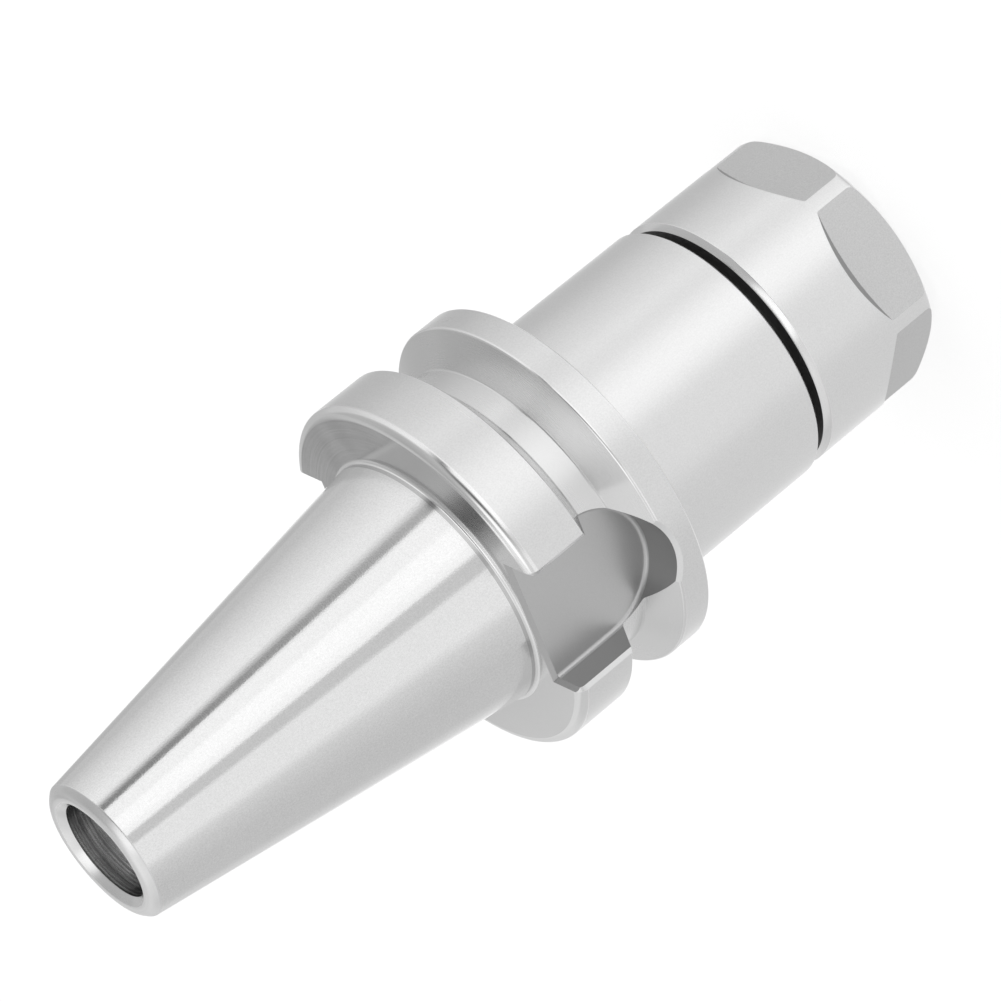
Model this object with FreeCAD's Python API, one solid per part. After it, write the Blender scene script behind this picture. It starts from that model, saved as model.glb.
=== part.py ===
# Collet chuck holder: a 7:24 taper tool shank with a gripper flange, a collet socket in its nose,
# a slotted spring collet, a hexagon-flatted clamping nut and a stop screw in the bore.
# Millimetres. +Z runs along the axis, from the nut towards the small end of the taper.
# The origin is the centre of the gauge circle, and the holder stands on the face of its nut.
# Threads are plain cylinders at their pitch diameter, so that a nut and its thread fit.
import math
import os

import FreeCAD
import Part

# Taper shank
GAUGE_DIAMETER = 31.75
SHANK_LENGTH = 48.4
TAPER_RATIO = 7.0 / 24.0
SHANK_END_CHAMFER = 0.8

# Pull stud seat in the small end of the shank
PILOT_DIAMETER = 12.5
PILOT_DEPTH = 7.0
PILOT_CHAMFER = 0.8
STUD_THREAD_BORE = 10.2
STUD_HOLE_DEPTH = 34.0
DRILL_POINT_ANGLE = 118.0
COOLANT_BORE = 7.0

# Gripper flange
NECK_LENGTH = 2.0
NECK_FILLET = 0.5
FLANGE_DIAMETER = 46.0
FLANGE_LENGTH = 20.0
FLANGE_FRONT_RADIUS = 1.15
FLANGE_REAR_CHAMFER = 0.2
FRONT_LAND = 8.0
GROOVE_WIDTH = 8.0
GROOVE_DEPTH = 4.0
GROOVE_HALF_ANGLE = 30.0
GROOVE_ROOT_FILLET = 0.4
GROOVE_FRONT_CHAMFER = 0.15
GROOVE_REAR_CHAMFER = 0.28

# Two drive keyways, milled into the flange from its shank side
KEYWAY_WIDTH = 16.1
KEYWAY_FLOOR_HEIGHT = 17.0
KEYWAY_LENGTH = 17.0
KEYWAY_FLOOR_FILLET = 0.5
KEYWAY_EDGE_CHAMFER = 0.5
KEYWAY_COUNT = 2

# Nose
NOSE_DIAMETER = 34.1
NOSE_LENGTH = 23.8
NOSE_EDGE_CHAMFER = 0.3
NOSE_ROOT_FILLET = 1.0
THREAD_PITCH_DIAMETER = 24.0
THREAD_LENGTH = 14.2
THREAD_END_CHAMFER = 0.8
THREAD_RELIEF_DIAMETER = 22.9
THREAD_RELIEF_LENGTH = 2.6

# Collet, sized by its largest diameter and its overall length
COLLET_DIAMETER = 21.0
COLLET_LENGTH = 31.5
COLLET_HALF_ANGLE = 8.0
COLLET_FACE_DIAMETER = 17.8
COLLET_RING_DIAMETER = 20.6
COLLET_RING_LENGTH = 1.0
COLLET_GROOVE_DIAMETER = 17.8
COLLET_GROOVE_LENGTH = 2.0
COLLET_FRONT_HALF_ANGLE = 30.0
COLLET_REAR_CHAMFER = 0.5
COLLET_BORE = 10.0
COLLET_BORE_CHAMFER = 0.4
COLLET_SLOT_WIDTH = 0.8
COLLET_SLOT_COUNT = 8
COLLET_REAR_BRIDGE = 3.6
COLLET_FRONT_BRIDGE = 7.2
COLLET_CLEARANCE = 0.03

# Clamping nut
NUT_DIAMETER = 33.6
NUT_LENGTH = 19.5
NUT_GAP = 1.5
NUT_FACE_DIAMETER = 28.0
NUT_FACE_CONE_ANGLE = 31.0
NUT_SHOULDER_RADIUS = 1.3
NUT_REAR_CHAMFER = 0.68
NUT_ACROSS_FLATS = 30.0
NUT_FLAT_LENGTH = 8.0
NUT_FLAT_COUNT = 6
NUT_CLOCKING = 28.0
FLAT_CUTTER_RADIUS = 36.0
FLAT_WALL_ANGLE = 40.0
NUT_THREAD_CLEARANCE = 0.05
NUT_REAR_RECESS_DIAMETER = 25.6
NUT_REAR_RECESS_LENGTH = 1.6
NUT_RELIEF_DIAMETER = 22.8
COLLET_FACE_RECESS = 0.4
NUT_CONE_CLEARANCE = 0.05
NUT_RING_CLEARANCE = 0.15
LIP_CLEARANCE = 0.12
LIP_DIAMETER = 19.9
LIP_OFFSET = 0.55

# Stop screw, in a thread behind the collet
STOP_PITCH_DIAMETER = 11.35
STOP_LENGTH = 10.0
STOP_END_CHAMFER = 0.7
STOP_SOCKET_ACROSS_FLATS = 6.0
STOP_SOCKET_DEPTH = 5.0
STOP_COOLANT_BORE = 3.0
STOP_THREAD_CLEARANCE = 0.05
STOP_THREAD_LENGTH = 22.0
STOP_STANDOFF = 4.9
SOCKET_TAIL = 1.9

AXIS = FreeCAD.Vector(0, 0, 1)
ORIGIN = FreeCAD.Vector(0, 0, 0)

# Places along the axis that several pieces share
FLANGE_FRONT = -NECK_LENGTH
FLANGE_REAR = FLANGE_FRONT - FLANGE_LENGTH
NOSE_FACE = FLANGE_REAR - NOSE_LENGTH
NOSE_TIP = NOSE_FACE - THREAD_LENGTH
NUT_REAR = NOSE_FACE - NUT_GAP
NUT_FACE = NUT_REAR - NUT_LENGTH
COLLET_FACE = NUT_FACE + COLLET_FACE_RECESS
COLLET_REAR = COLLET_FACE + COLLET_LENGTH
FRONT_CONE_LENGTH = (
    (COLLET_RING_DIAMETER - COLLET_FACE_DIAMETER) / 2
    / math.tan(math.radians(COLLET_FRONT_HALF_ANGLE))
)
RING_START = COLLET_FACE + FRONT_CONE_LENGTH
GROOVE_START = RING_START + COLLET_RING_LENGTH
COLLET_CONE_START = GROOVE_START + COLLET_GROOVE_LENGTH
SOCKET_END = COLLET_REAR + SOCKET_TAIL
STOP_FRONT = COLLET_REAR + STOP_STANDOFF


def at(radius, height):
    """A point of a turned outline."""
    return FreeCAD.Vector(radius, 0, height)


def turned(outline):
    """Revolves a closed outline of (radius, height) or (radius, height, corner radius) points."""
    corners = [at(point[0], point[1]) for point in outline]
    radii = [point[2] if len(point) > 2 else 0.0 for point in outline]
    starts = []
    ends = []
    middles = []
    count = len(corners)
    for i in range(count):
        corner = corners[i]
        back = (corners[i - 1] - corner).normalize()
        ahead = (corners[(i + 1) % count] - corner).normalize()
        if radii[i] <= 0:
            starts.append(corner)
            ends.append(corner)
            middles.append(None)
            continue
        half = back.getAngle(ahead) / 2
        reach = radii[i] / math.tan(half)
        bisector = (back + ahead).normalize()
        centre = corner + bisector * (radii[i] / math.sin(half))
        starts.append(corner + back * reach)
        ends.append(corner + ahead * reach)
        middles.append(centre - bisector * radii[i])
    edges = []
    for i in range(count):
        if middles[i] is not None:
            edges.append(Part.Arc(starts[i], middles[i], ends[i]).toShape())
        following = starts[(i + 1) % count]
        if ends[i].distanceToPoint(following) > 1e-7:
            edges.append(Part.LineSegment(ends[i], following).toShape())
    face = Part.Face(Part.Wire(edges))
    return face.revolve(ORIGIN, AXIS, 360)


def shank_radius(height):
    """Radius of the 7:24 taper at a height above the gauge plane."""
    return GAUGE_DIAMETER / 2 - height * TAPER_RATIO / 2


def collet_radius(height):
    """Radius of the collet's long cone."""
    fall = (height - COLLET_CONE_START) * math.tan(math.radians(COLLET_HALF_ANGLE))
    return COLLET_DIAMETER / 2 - fall


def socket_radius(height):
    """Radius of the socket that the collet's long cone seats in."""
    return collet_radius(height) + COLLET_CLEARANCE


def holder_blank():
    """The shank, flange and nose, turned and bored in one piece."""
    groove_fall = GROOVE_DEPTH * math.tan(math.radians(GROOVE_HALF_ANGLE))
    groove_front = FLANGE_FRONT - FRONT_LAND
    groove_rear = groove_front - GROOVE_WIDTH
    flange = FLANGE_DIAMETER / 2
    groove_root = flange - GROOVE_DEPTH
    nose = NOSE_DIAMETER / 2
    thread = THREAD_PITCH_DIAMETER / 2
    pilot = PILOT_DIAMETER / 2
    stud = STUD_THREAD_BORE / 2
    coolant = COOLANT_BORE / 2
    stop = STOP_PITCH_DIAMETER / 2 + STOP_THREAD_CLEARANCE
    chamfered = SHANK_LENGTH - SHANK_END_CHAMFER
    stud_bottom = SHANK_LENGTH - STUD_HOLE_DEPTH
    drill_slope = math.tan(math.radians(90 - DRILL_POINT_ANGLE / 2))
    stop_bottom = SOCKET_END + STOP_THREAD_LENGTH
    outside = [
        (shank_radius(chamfered) - SHANK_END_CHAMFER, SHANK_LENGTH),
        (shank_radius(chamfered), chamfered),
        (GAUGE_DIAMETER / 2, 0),
        (GAUGE_DIAMETER / 2, FLANGE_FRONT, NECK_FILLET),
        (flange, FLANGE_FRONT, FLANGE_FRONT_RADIUS),
        (flange, groove_front + GROOVE_FRONT_CHAMFER),
        (flange - GROOVE_FRONT_CHAMFER, groove_front),
        (groove_root, groove_front - groove_fall, GROOVE_ROOT_FILLET),
        (groove_root, groove_rear + groove_fall, GROOVE_ROOT_FILLET),
        (flange - GROOVE_REAR_CHAMFER, groove_rear),
        (flange, groove_rear - GROOVE_REAR_CHAMFER),
        (flange, FLANGE_REAR + FLANGE_REAR_CHAMFER),
        (flange - FLANGE_REAR_CHAMFER, FLANGE_REAR),
        (nose, FLANGE_REAR, NOSE_ROOT_FILLET),
        (nose, NOSE_FACE + NOSE_EDGE_CHAMFER),
        (nose - NOSE_EDGE_CHAMFER, NOSE_FACE),
        (THREAD_RELIEF_DIAMETER / 2, NOSE_FACE),
        (THREAD_RELIEF_DIAMETER / 2, NOSE_FACE - THREAD_RELIEF_LENGTH),
        (thread, NOSE_FACE - THREAD_RELIEF_LENGTH - (thread - THREAD_RELIEF_DIAMETER / 2)),
        (thread, NOSE_TIP + THREAD_END_CHAMFER),
        (thread - THREAD_END_CHAMFER, NOSE_TIP),
    ]
    inside = [
        (socket_radius(NOSE_TIP), NOSE_TIP),
        (socket_radius(SOCKET_END), SOCKET_END),
        (stop, SOCKET_END + socket_radius(SOCKET_END) - stop),
        (stop, stop_bottom),
        (coolant, stop_bottom + (stop - coolant) * drill_slope),
        (coolant, stud_bottom - (stud - coolant) * drill_slope),
        (stud, stud_bottom),
        (stud, SHANK_LENGTH - PILOT_DEPTH - (pilot - stud)),
        (pilot, SHANK_LENGTH - PILOT_DEPTH),
        (pilot, SHANK_LENGTH - PILOT_CHAMFER),
        (pilot + PILOT_CHAMFER, SHANK_LENGTH),
    ]
    return turned(outside + inside)


def keyway_cutter():
    """One drive keyway: an end mill's path, straight in from the shank side, with a round end."""
    half = KEYWAY_WIDTH / 2
    run = KEYWAY_LENGTH - half
    clear = FLANGE_DIAMETER / 2 - KEYWAY_FLOOR_HEIGHT + FLANGE_FRONT_RADIUS
    mouth = NECK_LENGTH
    turn_centre = FLANGE_FRONT - run
    left = FreeCAD.Vector(KEYWAY_FLOOR_HEIGHT, -half, turn_centre)
    right = FreeCAD.Vector(KEYWAY_FLOOR_HEIGHT, half, turn_centre)
    end = FreeCAD.Vector(KEYWAY_FLOOR_HEIGHT, 0, turn_centre - half)
    top_left = FreeCAD.Vector(KEYWAY_FLOOR_HEIGHT, -half, FLANGE_FRONT + mouth)
    top_right = FreeCAD.Vector(KEYWAY_FLOOR_HEIGHT, half, FLANGE_FRONT + mouth)
    path = Part.Wire([
        Part.LineSegment(top_left, left).toShape(),
        Part.Arc(left, end, right).toShape(),
        Part.LineSegment(right, top_right).toShape(),
        Part.LineSegment(top_right, top_left).toShape(),
    ])
    cutter = Part.Face(path).extrude(FreeCAD.Vector(clear, 0, 0))
    floor_edges = [
        edge for edge in cutter.Edges
        if edge.BoundBox.XMax < KEYWAY_FLOOR_HEIGHT + 1e-6
        and edge.BoundBox.ZMin < FLANGE_FRONT
    ]
    return cutter.makeFillet(KEYWAY_FLOOR_FILLET, floor_edges)


def on_flange_rim(edge):
    """Whether an edge lies on the flange's outer cylinder and isn't one of its full or part circles."""
    samples = [edge.valueAt(edge.FirstParameter + share * (edge.LastParameter - edge.FirstParameter))
               for share in (0.1, 0.5, 0.9)]
    rim = FLANGE_DIAMETER / 2
    rounded = all(abs(math.hypot(p.x, p.y) - rim) < 1e-3 for p in samples)
    level = abs(samples[0].z - samples[2].z) < 1e-3 and abs(samples[0].z - samples[1].z) < 1e-3
    return rounded and not level


def holder_body():
    """The turned blank with its two keyways, their outer edges broken by a chamfer."""
    body = holder_blank()
    for i in range(KEYWAY_COUNT):
        cutter = keyway_cutter()
        cutter.rotate(ORIGIN, AXIS, i * 360.0 / KEYWAY_COUNT)
        body = body.cut(cutter)
    rim_edges = [edge for edge in body.Edges if on_flange_rim(edge)]
    return body.makeChamfer(KEYWAY_EDGE_CHAMFER, rim_edges)


def saw_cuts(low, high, first_angle):
    """A ring of radial saw slots between two heights."""
    cuts = []
    reach = COLLET_DIAMETER
    for i in range(COLLET_SLOT_COUNT):
        slot = Part.makeBox(reach, COLLET_SLOT_WIDTH, high - low)
        slot.translate(FreeCAD.Vector(0, -COLLET_SLOT_WIDTH / 2, low))
        slot.rotate(ORIGIN, AXIS, first_angle + i * 360.0 / COLLET_SLOT_COUNT)
        cuts.append(slot)
    return cuts


def collet():
    """The spring collet: a long cone, a snap groove and a steep front cone, sawn from both ends."""
    bore = COLLET_BORE / 2
    groove = COLLET_GROOVE_DIAMETER / 2
    ring = COLLET_RING_DIAMETER / 2
    rear = collet_radius(COLLET_REAR)
    blank = turned([
        (bore + COLLET_BORE_CHAMFER, COLLET_FACE),
        (COLLET_FACE_DIAMETER / 2, COLLET_FACE),
        (ring, RING_START),
        (ring, GROOVE_START),
        (groove, GROOVE_START),
        (groove, COLLET_CONE_START),
        (collet_radius(COLLET_CONE_START), COLLET_CONE_START),
        (collet_radius(COLLET_REAR - COLLET_REAR_CHAMFER), COLLET_REAR - COLLET_REAR_CHAMFER),
        (rear - COLLET_REAR_CHAMFER, COLLET_REAR),
        (bore + COLLET_BORE_CHAMFER, COLLET_REAR),
        (bore, COLLET_REAR - COLLET_BORE_CHAMFER),
        (bore, COLLET_FACE + COLLET_BORE_CHAMFER),
    ])
    beyond = COLLET_SLOT_WIDTH
    half_step = 180.0 / COLLET_SLOT_COUNT
    front_slots = saw_cuts(COLLET_FACE - beyond, COLLET_REAR - COLLET_REAR_BRIDGE, 0)
    rear_slots = saw_cuts(COLLET_FACE + COLLET_FRONT_BRIDGE, COLLET_REAR + beyond, half_step)
    return blank.cut(front_slots + rear_slots)


def nut_blank():
    """The nut, turned and bored, before its flats and its snap lip."""
    outer = NUT_DIAMETER / 2
    face = NUT_FACE_DIAMETER / 2
    face_slope = math.tan(math.radians(NUT_FACE_CONE_ANGLE))
    thread = THREAD_PITCH_DIAMETER / 2 + NUT_THREAD_CLEARANCE
    recess = NUT_REAR_RECESS_DIAMETER / 2
    relief = NUT_RELIEF_DIAMETER / 2
    pocket = COLLET_RING_DIAMETER / 2 + NUT_RING_CLEARANCE
    slope = math.tan(math.radians(COLLET_FRONT_HALF_ANGLE))
    cone_face = COLLET_FACE_DIAMETER / 2 + NUT_CONE_CLEARANCE - COLLET_FACE_RECESS * slope
    cone_end = NUT_FACE + (pocket - cone_face) / slope
    lip_rear = COLLET_CONE_START - LIP_CLEARANCE
    recess_floor = NUT_REAR - NUT_REAR_RECESS_LENGTH
    thread_start = NOSE_TIP - THREAD_END_CHAMFER
    return turned([
        (cone_face, NUT_FACE),
        (face, NUT_FACE),
        (outer, NUT_FACE + (outer - face) * face_slope, NUT_SHOULDER_RADIUS),
        (outer, NUT_REAR - NUT_REAR_CHAMFER),
        (outer - NUT_REAR_CHAMFER, NUT_REAR),
        (recess, NUT_REAR),
        (recess, recess_floor),
        (thread, recess_floor - (recess - thread)),
        (thread, thread_start),
        (relief, thread_start - (thread - relief)),
        (relief, lip_rear),
        (pocket, lip_rear),
        (pocket, cone_end),
    ])


def snap_lip():
    """The eccentric ring inside the nut that holds the collet by its groove and pulls it out."""
    outer = NUT_RELIEF_DIAMETER / 2
    low = GROOVE_START + LIP_CLEARANCE
    high = COLLET_CONE_START - LIP_CLEARANCE
    ring = Part.makeCylinder(outer, high - low, at(0, low), AXIS)
    hole = Part.makeCylinder(LIP_DIAMETER / 2, high - low, at(LIP_OFFSET, low), AXIS)
    return ring.cut(hole)


def flat_cutter(angle):
    """Removes one spanner flat, as a bevelled face mill does that leaves a curved, sloping wall."""
    centre = NUT_FACE + NUT_FLAT_LENGTH - FLAT_CUTTER_RADIUS
    depth = NUT_DIAMETER - NUT_ACROSS_FLATS
    flare = depth * math.tan(math.radians(FLAT_WALL_ANGLE))
    cutter = Part.makeCone(
        FLAT_CUTTER_RADIUS, FLAT_CUTTER_RADIUS + flare, depth,
        FreeCAD.Vector(NUT_ACROSS_FLATS / 2, 0, centre), FreeCAD.Vector(1, 0, 0))
    cutter.rotate(ORIGIN, AXIS, angle)
    return cutter


def clamping_nut():
    """The nut that closes the collet, with six short flats at its face end."""
    nut = nut_blank().fuse(snap_lip())
    angles = [NUT_CLOCKING + i * 360.0 / NUT_FLAT_COUNT for i in range(NUT_FLAT_COUNT)]
    return nut.cut([flat_cutter(angle) for angle in angles]).removeSplitter()


def hex_prism(across_flats, height, base):
    """A hexagonal prism about the axis, standing on a base height."""
    corner = across_flats / math.sqrt(3)
    points = []
    for i in range(7):
        turn = math.radians(60 * i)
        points.append(FreeCAD.Vector(corner * math.cos(turn), corner * math.sin(turn), base))
    return Part.Face(Part.makePolygon(points)).extrude(FreeCAD.Vector(0, 0, height))


def stop_screw():
    """The screw behind the collet that a tool's shank stops against, bored for coolant."""
    radius = STOP_PITCH_DIAMETER / 2
    rear = STOP_FRONT + STOP_LENGTH
    blank = turned([
        (STOP_COOLANT_BORE / 2, STOP_FRONT),
        (radius - STOP_END_CHAMFER, STOP_FRONT),
        (radius, STOP_FRONT + STOP_END_CHAMFER),
        (radius, rear - STOP_END_CHAMFER),
        (radius - STOP_END_CHAMFER, rear),
        (STOP_COOLANT_BORE / 2, rear),
    ])
    return blank.cut(hex_prism(STOP_SOCKET_ACROSS_FLATS, STOP_SOCKET_DEPTH, STOP_FRONT))


PIECES = {
    "holder_body": holder_body,
    "collet": collet,
    "clamping_nut": clamping_nut,
    "stop_screw": stop_screw,
}

os.makedirs("parts", exist_ok=True)
for name, make in PIECES.items():
    shape = make()
    if shape.ShapeType != "Solid" and len(shape.Solids) == 1:
        shape = shape.Solids[0]
    box = shape.BoundBox
    print(f"{name}: {len(shape.Solids)} solid, {shape.Volume:.1f} mm3, valid {shape.isValid()},"
          f" x {box.XMin:.2f}..{box.XMax:.2f}, z {box.ZMin:.2f}..{box.ZMax:.2f}")
    shape.exportStep(f"parts/{name}.step")
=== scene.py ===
# %% [markdown]
# A collet chuck holder
#
# This lesson dresses a machine-tool holder: a steep taper shank, a flange with a V groove and two
# keyways, a round nose, and a nut that closes a slotted collet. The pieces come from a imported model
# whose sizes and places are fixed, so the lesson only makes their surfaces better.
# Bare steel has no colour of its own. It looks right when its edges are broken as real ones are,
# when its turning and grinding marks are there, and when there is something around it to reflect.

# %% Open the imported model
import math

import bmesh
import bpy
from mathutils import Matrix, Vector


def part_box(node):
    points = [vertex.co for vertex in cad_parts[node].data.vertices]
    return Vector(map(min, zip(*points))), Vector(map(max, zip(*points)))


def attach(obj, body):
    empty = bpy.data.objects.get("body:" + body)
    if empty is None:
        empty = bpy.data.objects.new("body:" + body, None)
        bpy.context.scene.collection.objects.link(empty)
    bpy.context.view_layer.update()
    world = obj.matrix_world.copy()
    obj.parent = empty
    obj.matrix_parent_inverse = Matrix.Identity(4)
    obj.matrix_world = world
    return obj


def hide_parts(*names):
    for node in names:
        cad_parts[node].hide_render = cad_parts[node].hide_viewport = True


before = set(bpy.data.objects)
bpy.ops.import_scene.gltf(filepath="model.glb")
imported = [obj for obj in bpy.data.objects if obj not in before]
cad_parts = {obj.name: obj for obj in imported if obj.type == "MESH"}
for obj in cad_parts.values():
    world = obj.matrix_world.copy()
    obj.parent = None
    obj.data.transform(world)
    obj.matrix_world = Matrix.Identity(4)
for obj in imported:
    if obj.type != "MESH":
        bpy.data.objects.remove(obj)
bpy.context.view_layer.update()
MM = 0.001
print("pieces in the model:", ", ".join(sorted(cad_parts)))

# %% [markdown]
# The camera comes first. A long lens from a short way off gives the flat perspective of a product
# photograph. The camera is rolled, so that the upright holder lies across the picture, and its three
# directions are written as a matrix: right, up, and back along the line of sight.

# %% Set up the camera
CAMERA_PLACE = Vector((460.353, 349.902, 228.047)) * MM
CAMERA_RIGHT = Vector((0.61903, -0.32346, -0.71566))
CAMERA_UP = Vector((-0.27232, 0.76631, -0.58190))
LENS_LENGTH = 201.134
SENSOR_WIDTH = 36.0
CLIP_START = 0.01


def make_camera():
    """Looks at the holder along the photograph's line of sight."""
    data = bpy.data.cameras.new("camera")
    data.lens = LENS_LENGTH
    data.sensor_width = SENSOR_WIDTH
    data.clip_start = CLIP_START
    camera = bpy.data.objects.new("camera", data)
    bpy.context.scene.collection.objects.link(camera)
    right = CAMERA_RIGHT.normalized()
    back = right.cross(CAMERA_UP).normalized()
    up = back.cross(right)
    turn = Matrix((right, up, back)).transposed().to_4x4()
    camera.matrix_world = Matrix.Translation(CAMERA_PLACE) @ turn
    bpy.context.scene.camera = camera


make_camera()
print("camera stands", round(CAMERA_PLACE.length, 3), "m from the gauge circle")

# %% [markdown]
# Shader nodes are easier to read as sums than as boxes and wires. Two small helpers are enough:
# one adds a node and fills its inputs, with numbers or with wires from other nodes, and one does
# the same for a single step of arithmetic.

# %% Helpers for shader nodes
def node(tree, kind, inputs=None, **settings):
    """Adds a node, sets its options, and fills its inputs with numbers or wires."""
    made = tree.nodes.new("ShaderNode" + kind)
    for name, value in settings.items():
        setattr(made, name, value)
    for name, value in (inputs or {}).items():
        if isinstance(value, bpy.types.NodeSocket):
            tree.links.new(value, made.inputs[name])
        else:
            made.inputs[name].default_value = value
    return made


def calc(tree, operation, *values, **settings):
    """One step of arithmetic between numbers and wires."""
    return node(tree, "Math", dict(enumerate(values)), operation=operation, **settings).outputs[0]


def grey(value):
    """An even grey as a colour."""
    return (value, value, value, 1.0)


def span(tree, value, low, high):
    """Runs smoothly from 0 where a value is low to 1 where it is high."""
    inputs = {"Value": value, "From Min": low, "From Max": high}
    return node(tree, "MapRange", inputs, interpolation_type="SMOOTHSTEP").outputs[0]


def new_material(name):
    """An empty material with its node tree."""
    material = bpy.data.materials.new(name)
    material.use_nodes = True
    material.node_tree.nodes.clear()
    return material, material.node_tree


print("node helpers ready")

# %% [markdown]
# Polished metal shows what stands around it, so product photographers put it in a tent of white
# cloth, with darker gaps where two sheets meet. The bands that run along a shiny shank are the
# reflections of those sheets and gaps.
# Painting such bands on the metal would be wrong, because they have to slide as the view turns. So
# the tent is the world: its brightness follows the direction round the upright axis, one sheet after
# another. The cloth near the ground hangs softer than the cloth further up, so the upright nose and
# nut, which mirror the low cloth, show fewer bands than the taper, which mirrors the higher part.

# %% Hang the sheets of the tent
# Each sheet is (from, to, brightness), in degrees round the axis, and the light fades evenly from
# one sheet to the next. A ring of sheets hangs at each height, given as the sine of its elevation
LOW_SHEETS = [
    (-168, -168, 0.55),
    (-153, -130, 1.10),
    (-124, -124, 0.97),
    (-113, -113, 0.77),
    (-97, -27, 0.73),
    (-20, 10, 0.80),
    (33, 33, 0.92),
    (43, 43, 1.05),
    (55, 65, 1.12),
    (83, 83, 0.92),
    (88, 95, 0.86),
    (101, 105, 0.99),
    (110, 110, 0.84),
    (143, 143, 0.67),
    (165, 165, 0.54),
]
HIGH_SHEETS = [
    (-172, -160, 0.50),
    (-143, -143, 0.64),
    (-114, -114, 0.68),
    (-97, -57, 0.58),
    (-37, -37, 0.63),
    (-23, -23, 0.70),
    (-12, 19, 0.87),
    (20.5, 33, 0.62),
    (35, 38, 1.02),
    (46, 60, 1.10),
    (63, 82, 1.00),
    (99, 106, 0.90),
    (143, 143, 0.70),
    (165, 165, 0.57),
]
UPPER_SHEETS = [
    (-173, -173, 0.52),
    (-157, -157, 0.38),
    (-149, -144.5, 0.25),
    (-140.5, -140.5, 0.72),
    (-120, -120, 0.72),
    (-97, -57, 0.55),
    (-37, -37, 0.60),
    (-12, 19, 0.70),
    (22, 31, 0.50),
    (36, 36, 0.62),
    (44, 55, 0.70),
    (62, 82, 0.60),
    (97, 105, 0.72),
    (123, 123, 0.58),
    (155, 155, 0.46),
    (171, 171, 0.42),
]
TOP_SHEETS = [
    (-170, -170, 0.50),
    (-150, -150, 0.58),
    (-115, -20, 0.70),
    (20, 20, 0.66),
    (28, 28, 0.42),
    (40, 40, 0.26),
    (50, 65, 0.09),
    (79, 79, 0.19),
    (93, 103, 0.48),
    (135, 135, 0.43),
    (165, 165, 0.45),
]
CEILING = [
    (-170, -170, 0.46),
    (-150, -150, 0.62),
    (-110, -50, 0.84),
    (0, 0, 0.60),
    (60, 60, 0.52),
    (120, 120, 0.43),
    (167, 167, 0.37),
]
RINGS = [
    (-0.386, LOW_SHEETS),
    (-0.25, HIGH_SHEETS),
    (0.28, HIGH_SHEETS),
    (0.36, UPPER_SHEETS),
    (0.55, TOP_SHEETS),
    (0.66, TOP_SHEETS),
    (0.85, CEILING),
]

# Between two sheets the dark room shows through a narrow gap, which closes low down and high up.
# Its foot and its head are each (from, to), the sines of the elevations between which it changes
GAP = [
    (-180, 79.8, 0.0),
    (81.3, 87.5, 1.0),
    (92.5, 92.5, 0.4),
    (97, 180, 0.0),
]
GAP_DEPTH = 0.85
GAP_FOOT = (-0.30, 0.0)
GAP_HEAD = (0.40, 0.55)


def sheets_ramp(tree, direction, sheets):
    """Turns a direction, 0 to 1 once round the axis, into the brightness of the cloth there."""
    ramp = node(tree, "ValToRGB", {0: direction})
    stops = ramp.color_ramp.elements
    stops.remove(stops[1])
    edges = [(edge, brightness) for start, end, brightness in sheets for edge in sorted({start, end})]
    for i, (degrees, brightness) in enumerate(edges):
        place = (degrees + 180) / 360
        stop = stops.new(place) if i else stops[0]
        stop.position = place
        stop.color = grey(brightness)
    return ramp.outputs[0]


for height, sheets in RINGS:
    print("a ring of", len(sheets), "sheets at", round(math.degrees(math.asin(height))), "degrees up")

# %% [markdown]
# Light Path tells the world which kind of ray is asking. The camera sees plain white, the metal sees
# the tent, and everything else, such as the floor, is lit evenly. A soft box hangs high up on the
# camera's side, and rounded edges catch it as a bright line.

# %% Make the world
EVEN_LIGHT = 0.95
BOX_ELEVATION = math.radians(66)
BOX_ANGLE = math.radians(30)
BOX_EDGE = (0.93, 0.975)
BOX_BRIGHTNESS = 0.55


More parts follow.
